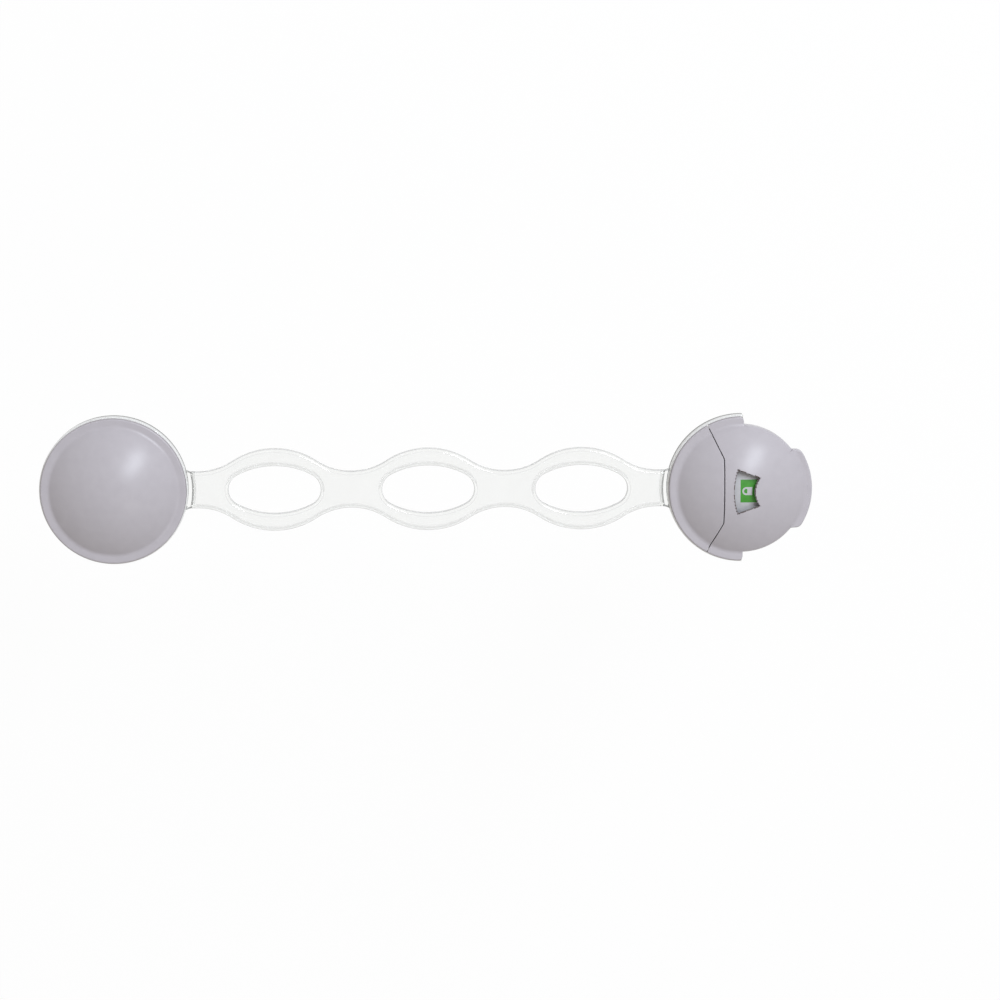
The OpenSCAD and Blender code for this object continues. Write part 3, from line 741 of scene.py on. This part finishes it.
LABEL_T = 0.15
FIELD_HALF = 3.0
GREEN_X = (-0.7, 3.65)
RED_X = (3.65, 8.15)
LOCK_HALF = 1.05
LOCK_BODY_X = (1.04, 2.35)
SHACKLE_X = 0.8
SHACKLE_IN = 0.6
OPEN_LIFT = 0.45
GREEN = ((0.042, 0.26, 0.02), (0.058, 0.31, 0.028))
RED = ((0.46, 0.03, 0.025), (0.54, 0.04, 0.03))
WHITE = ((0.51, 0.51, 0.53), (0.55, 0.55, 0.57))

ink = Finish("printed_label_film", Specular_IOR_Level=0.4)
centred = ink.add("ShaderNodeMapping")
centred.inputs["Scale"].default_value = (1 / MM, 1 / MM, 1 / MM)
centred.inputs["Location"].default_value = (-latch_x, 0, 0)
ink.link(ink.place, centred.inputs["Vector"])
axes = ink.add("ShaderNodeSeparateXYZ")
ink.link(centred.outputs["Vector"], axes.inputs["Vector"])


def calc(operation, first, second):
    """One sum of the label's print, of numbers or of other sums."""
    node = ink.add("ShaderNodeMath", operation=operation)
    for socket, value in zip(node.inputs, (first, second)):
        if isinstance(value, (int, float)):
            socket.default_value = value
        else:
            ink.link(value, socket)
    return node.outputs["Value"]


along = axes.outputs["X"]
across = axes.outputs["Y"]
beside = calc("ABSOLUTE", across, 0)


def field(x0, x1, half):
    """Share of a rectangle across the middle of the label, as one or zero."""
    inside = calc("MULTIPLY", calc("GREATER_THAN", along, x0), calc("LESS_THAN", along, x1))
    return calc("MULTIPLY", inside, calc("LESS_THAN", beside, half))


def arch(centre, radius, end):
    """Share of a field with a round left end and a square right one."""
    left = calc("MINIMUM", calc("SUBTRACT", along, centre), 0)
    away = calc("ADD", calc("MULTIPLY", left, left), calc("MULTIPLY", across, across))
    return calc("MULTIPLY", calc("LESS_THAN", away, radius ** 2), calc("LESS_THAN", along, end))


def padlock(shift, lift):
    """Share of a padlock on its side, with its shackle lifted by a length when it is open."""
    body_x = LOCK_BODY_X[0] + shift
    centre = SHACKLE_X + shift - lift
    body = field(body_x, LOCK_BODY_X[1] + shift, LOCK_HALF)
    shackle = calc("SUBTRACT", arch(centre, LOCK_HALF, body_x), arch(centre, SHACKLE_IN, body_x))
    if lift:
        past_body = calc("GREATER_THAN", along, body_x - lift)
        free_leg = calc("MULTIPLY", past_body, calc("LESS_THAN", across, 0))
        shackle = calc("MULTIPLY", shackle, calc("SUBTRACT", 1, free_leg))
    return calc("MAXIMUM", body, shackle)


grain = ink.noise(grain=1.5)
white = ink.shades(grain, *WHITE)
print_tone = ink.mixed(field(*GREEN_X, FIELD_HALF), white, ink.shades(grain, *GREEN))
print_tone = ink.mixed(field(*RED_X, FIELD_HALF), print_tone, ink.shades(grain, *RED))
for sign in (padlock(0, 0), padlock(travel, OPEN_LIFT)):
    print_tone = ink.mixed(sign, print_tone, white)
ink.colour(print_tone)
ink.ranged("Roughness", ink.noise(grain=0.8), low=0.38, high=0.5)

film = ball_plate(tongue_r + LABEL_T, tongue_r, label_low.x - latch_x, label_high.x - latch_x,
                  label_high.y - label_low.y)
label = piece_of(moved(film, latch_x), "status_film", ink.material)
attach(label, "latch")
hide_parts("status_label")

# Sliding cover
# The moving part of the latch dome: a shell with two ears that ride on the clear disc, a window over the
# label, and a thumb tab at its end to pull it by.

SHOULDER = 2.0
EAR_X = 0.5
EAR_GAP = 0.2
EAR_CORNER = 1.1
TAB_W = 20.6
TAB_T = 2.4
TAB_CORNER = 2.0
TAB_SETBACK = 0.5
WINDOW_FRONT = 2.4
WINDOW_BACK = 2.8
WINDOW_FRONT_R = 16.8
WINDOW_BACK_R = 5.8
WINDOW_ANGLE = 19.5
WINDOW_EDGE = 0.28
WINDOW_STEPS = 16
# Painted shade on the walls of the window; its rounded rim is painted fully dark.
WINDOW_WALL_TINT = 0.3
WINDOW_WALL_SLOPE = 0.3
ON_OUTLINE = 0.01
ON_BALL = 0.99
SHOULDER_STEPS = 6
LEDGE_STEPS = 4
TAB_STATIONS = 40
WALL_STATIONS = 40
CORNER_STATIONS = 8
EAR_STATIONS = 56

cover_z = box_mm("slide_cover")[0].z
ear_z = brim_z + EAR_GAP
tab_z = brim_top - TAB_T
tab_r = brim_r - TAB_SETBACK
shoulder_r = dome_r - SHOULDER
shoulder_z = ball_z + math.sqrt((ball_r - SHOULDER) ** 2 - shoulder_r ** 2)
shoulder_angle = math.degrees(math.atan2(shoulder_z - ball_z, shoulder_r))
corner_y = TAB_W / 2 - TAB_CORNER
corner_x = math.sqrt((tab_r - TAB_CORNER) ** 2 - corner_y ** 2)
corner_angle = math.atan2(corner_y, corner_x)
outer_ball = arc((0, ball_z), ball_r, 90, shoulder_angle, DOME_RINGS)


def wall_section():
    """Section where the cover is a plain dome over a straight wall."""
    drop = [(dome_r, z) for z in spread(shoulder_z, tab_z, LEDGE_STEPS + 2)[1:]]
    return [*outer_ball, *arc((shoulder_r, shoulder_z), SHOULDER, shoulder_angle, 0, SHOULDER_STEPS), *drop,
            (dome_r, tab_z), (dome_r, cover_z), (wall_in, cover_z), *inner_ball]


def ledge_section(radius, under, bottom):
    """Section through an ear or the tab, out to a radius and down to its underside."""
    edge = min(BRIM_EDGE, radius - dome_r + LOWER_EDGE)
    stop = radius - edge
    sweep = math.degrees(math.acos(max(fillet_r - stop, 0) / FILLET))
    rim = arc((fillet_r, fillet_z), FILLET, 180 + fillet_angle, 180 + sweep, SHOULDER_STEPS)
    return [*outer_ball, *rim, *arc((stop, rim[-1][1] - edge), edge, 90, 0, LEDGE_STEPS), (radius, under),
            (dome_r, under), (dome_r, bottom), (wall_in, bottom), *inner_ball]


def tab_reach(angle):
    """Plan radius of the tab at an angle: its round edge, a round corner, or its straight side."""
    if angle < corner_angle:
        return tab_r
    side = TAB_W / 2 / math.sin(angle)
    if side * math.cos(angle) < corner_x:
        return max(side, dome_r)
    off = angle - corner_angle
    corner = math.hypot(corner_x, corner_y)
    return corner * math.cos(off) + math.sqrt(TAB_CORNER ** 2 - (corner * math.sin(off)) ** 2)


tab_side = math.asin(TAB_W / 2 / dome_r)
ear_end = math.acos(EAR_X / brim_r)
ear_corner = math.asin(EAR_CORNER / (brim_r - EAR_CORNER))


def ear_reach(angle):
    """Plan radius of an ear at an angle, with a round corner at its end."""
    off = max(ear_end + ear_corner - angle, 0)
    if not off:
        return brim_r
    centre = brim_r - EAR_CORNER
    return centre * math.cos(off) + math.sqrt(max(EAR_CORNER ** 2 - (centre * math.sin(off)) ** 2, 0))


half_turn = [(a, ledge_section(tab_reach(a), tab_z, cover_z)) for a in spread(0, tab_side, TAB_STATIONS)]
half_turn += [(a, wall_section()) for a in spread(tab_side, ear_end, WALL_STATIONS)]
corner_turns = spread(ear_end, ear_end + ear_corner, CORNER_STATIONS)
ear_turns = corner_turns + spread(corner_turns[-1], math.pi, EAR_STATIONS)[1:]
half_turn += [(a, ledge_section(ear_reach(a), ear_z, ear_z)) for a in ear_turns]
whole_turn = half_turn + [(math.tau - a, section) for a, section in reversed(half_turn[1:-1])]

bm = bmesh.new()
chains = []
for angle, section in whole_turn:
    verts = [bm.verts.new((r * math.cos(angle), r * math.sin(angle), z)) for r, z in section]
    chains.append([bm.edges.new(pair) for pair in zip(verts, verts[1:])])
for one, two in zip(chains, chains[1:] + chains[:1]):
    bmesh.ops.bridge_loops(bm, edges=one + two)
cover_shell = cleaned(bm)

# The sides of the window run towards the centre of its front arc, as far as the back arc.
window_c = WINDOW_FRONT_R - WINDOW_FRONT
back_c = WINDOW_BACK + WINDOW_BACK_R
slope = math.tan(math.radians(WINDOW_ANGLE))
half_sum = (back_c + window_c * slope ** 2) / (1 + slope ** 2)
product = (back_c ** 2 + (window_c * slope) ** 2 - WINDOW_BACK_R ** 2) / (1 + slope ** 2)
meet_x = half_sum - math.sqrt(half_sum ** 2 - product)
back_angle = math.degrees(math.atan2((window_c - meet_x) * slope, meet_x - back_c))
window = [*arc((window_c, 0), WINDOW_FRONT_R, 180 - WINDOW_ANGLE, 180 + WINDOW_ANGLE, WINDOW_STEPS),
          *arc((back_c, 0), WINDOW_BACK_R, 360 - back_angle, back_angle, WINDOW_STEPS)]


def window_depth(point):
    """How far a point lies inside the outline of the window."""
    front = WINDOW_FRONT_R - math.hypot(point.x - window_c, point.y)
    back = math.hypot(min(point.x - back_c, 0), point.y) - WINDOW_BACK_R
    lean = math.radians(WINDOW_ANGLE)
    side = (window_c - point.x) * math.sin(lean) - abs(point.y) * math.cos(lean)
    return min(front, back, side)


def by_window(edge):
    """Whether an edge runs along the outline of the window."""
    return all(abs(window_depth(v.co)) < ON_OUTLINE and v.co.z > brim_top for v in edge.verts)


def away_from_window(edge):
    """Whether an edge stands out and lies clear of the window's own rounding."""
    return edge.is_convex and window_depth(edge.verts[0].co) < -2 * WINDOW_EDGE


def cover_tint(normal, middle):
    """Painted shade: a dark line round the window, darker walls inside it, and a fainter line along the
    outer edge of the ears and the tab.
    """
    outward = (middle - dome_centre).normalized()
    if window_depth(middle) < -WINDOW_EDGE or normal.dot(outward) > ON_BALL:
        return rim_tint(normal, middle)
    return 1 if normal.z > WINDOW_WALL_SLOPE else WINDOW_WALL_TINT


cover_shell = carved(cover_shell, prism(window, brim_top, 2 * dome_top))
cover_shell = carved(cover_shell, strap_side(SPLIT_GAP / 2))
cover_shell = softened(cover_shell, WINDOW_EDGE, by_window)
cover_shell = softened(cover_shell, CRISP_EDGE, away_from_window)
# The cuts can leave a hair crack where the side of the tab meets the dome.
bmesh.ops.holes_fill(cover_shell, edges=[e for e in cover_shell.edges if e.is_boundary])
bmesh.ops.recalc_face_normals(cover_shell, faces=cover_shell.faces)
# The window's rim and walls and the outer edges of the ears and the tab get dark painted shade.
cover_shell = tinted(cover_shell, "cut", cover_tint)
cover = piece_of(moved(cover_shell, latch_x), "latch_cover", grey.material)
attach(cover, "cover")
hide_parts("slide_cover")

# Studio
# A white floor, so far below the lock that its strap can hang down, with a tall soft light from the upper
# right, a weak one from the lower right and an even pale sky. From below, the floor can be seen through.

FLOOR_SIZE = 6.0
FLOOR_DROP = 0.13
FLOOR_GLOW = 0.93
PAPER_TONE = (0.95, 0.95, 0.95, 1)
SKY = 0.495
SKY_TONE = (1.0, 0.96, 0.91, 1)
LAMP_DISTANCE = 1.6

floor_bm = bmesh.new()
bmesh.ops.create_grid(floor_bm, x_segments=1, y_segments=1, size=FLOOR_SIZE,
                      matrix=Matrix.Translation((0, 0, -FLOOR_DROP)))
floor_mesh = bpy.data.meshes.new("floor")
floor_bm.to_mesh(floor_mesh)
floor_bm.free()
floor = bpy.data.objects.new("floor", floor_mesh)
bpy.context.scene.collection.objects.link(floor)
floor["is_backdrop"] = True


def seen_directly(tree):
    """One where a ray comes from the camera, a reflection or through glass, and zero for lighting."""
    path = tree.nodes.new("ShaderNodeLightPath")
    total = path.outputs["Is Camera Ray"]
    for name in ("Is Glossy Ray", "Is Transmission Ray"):
        larger = tree.nodes.new("ShaderNodeMath")
        larger.operation = "MAXIMUM"
        tree.links.new(total, larger.inputs[0])
        tree.links.new(path.outputs[name], larger.inputs[1])
        total = larger.outputs["Value"]
    return total


paper = bpy.data.materials.new("white_paper")
paper.use_nodes = True
tree = paper.node_tree
tree.nodes.clear()
lit = tree.nodes.new("ShaderNodeBsdfDiffuse")
lit.inputs["Color"].default_value = PAPER_TONE
glow = tree.nodes.new("ShaderNodeEmission")
share = tree.nodes.new("ShaderNodeMath")
share.operation = "MULTIPLY"
share.inputs[1].default_value = FLOOR_GLOW
both = tree.nodes.new("ShaderNodeMixShader")
side = tree.nodes.new("ShaderNodeNewGeometry")
nothing = tree.nodes.new("ShaderNodeBsdfTransparent")
upper_side = tree.nodes.new("ShaderNodeMixShader")
surface = tree.nodes.new("ShaderNodeOutputMaterial")
tree.links.new(seen_directly(tree), share.inputs[0])
tree.links.new(share.outputs["Value"], both.inputs["Fac"])
tree.links.new(lit.outputs["BSDF"], both.inputs[1])
tree.links.new(glow.outputs["Emission"], both.inputs[2])
tree.links.new(side.outputs["Backfacing"], upper_side.inputs["Fac"])
tree.links.new(both.outputs["Shader"], upper_side.inputs[1])
tree.links.new(nothing.outputs["BSDF"], upper_side.inputs[2])
tree.links.new(upper_side.outputs["Shader"], surface.inputs["Surface"])
floor_mesh.materials.append(paper)

world = bpy.data.worlds.new("studio")
world.use_nodes = True
bpy.context.scene.world = world
tree = world.node_tree
sky = tree.nodes["Background"]
sky.inputs["Color"].default_value = SKY_TONE
sky.inputs["Strength"].default_value = SKY
backdrop = tree.nodes.new("ShaderNodeBackground")
backdrop.inputs["Color"].default_value = (1, 1, 1, 1)
either = tree.nodes.new("ShaderNodeMixShader")
tree.links.new(seen_directly(tree), either.inputs["Fac"])
tree.links.new(sky.outputs["Background"], either.inputs[1])
tree.links.new(backdrop.outputs["Background"], either.inputs[2])
tree.links.new(either.outputs["Shader"], tree.nodes["World Output"].inputs["Surface"])


def softbox(name, way, width, height, power, tone):
    """Rectangular lamp in a direction from the lock, turned towards it."""
    lamp = bpy.data.lights.new(name, "AREA")
    lamp.shape = "RECTANGLE"
    lamp.size = width
    lamp.size_y = height
    lamp.energy = power
    lamp.color = tone
    holder = bpy.data.objects.new(name, lamp)
    holder.location = way.normalized() * LAMP_DISTANCE
    holder.rotation_euler = way.to_track_quat("Z", "Y").to_euler()
    holder.visible_transmission = False
    bpy.context.scene.collection.objects.link(holder)


softbox("tall_softbox", Vector((0.345, 0.51, 0.787)), width=0.36, height=1.0, power=16.8,
        tone=(0.90, 0.96, 1.04))
softbox("weak_softbox", Vector((0.26, -0.36, 0.896)), width=0.3, height=0.5, power=1.5,
        tone=(1.0, 0.97, 0.95))

# Camera
# Almost straight above the lock and a little to its far side, with a long lens. Its place and turn were
# found from where the ends and the links of the lock lie in the picture.

CAMERA_PLACE = Vector((-0.01315, 0.12528, 0.91654))
CAMERA_TILT = -8.0
CAMERA_PAN = -2.007
CAMERA_ROLL = -0.254
FOCUS_PX = 3530.66
FRAME_PX = 1000
SENSOR_MM = 36

camera = bpy.data.cameras.new("camera")
camera.sensor_width = SENSOR_MM
camera.lens = FOCUS_PX / FRAME_PX * SENSOR_MM
camera_object = bpy.data.objects.new("camera", camera)
turn = Matrix.Identity(4)
for angle, axis in ((CAMERA_TILT, "X"), (CAMERA_PAN, "Y"), (CAMERA_ROLL, "Z")):
    turn = turn @ Matrix.Rotation(math.radians(angle), 4, axis)
camera_object.matrix_world = Matrix.Translation(CAMERA_PLACE) @ turn
bpy.context.scene.collection.objects.link(camera_object)
bpy.context.scene.camera = camera_object
bpy.context.scene.view_settings.view_transform = "Standard"

low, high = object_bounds()
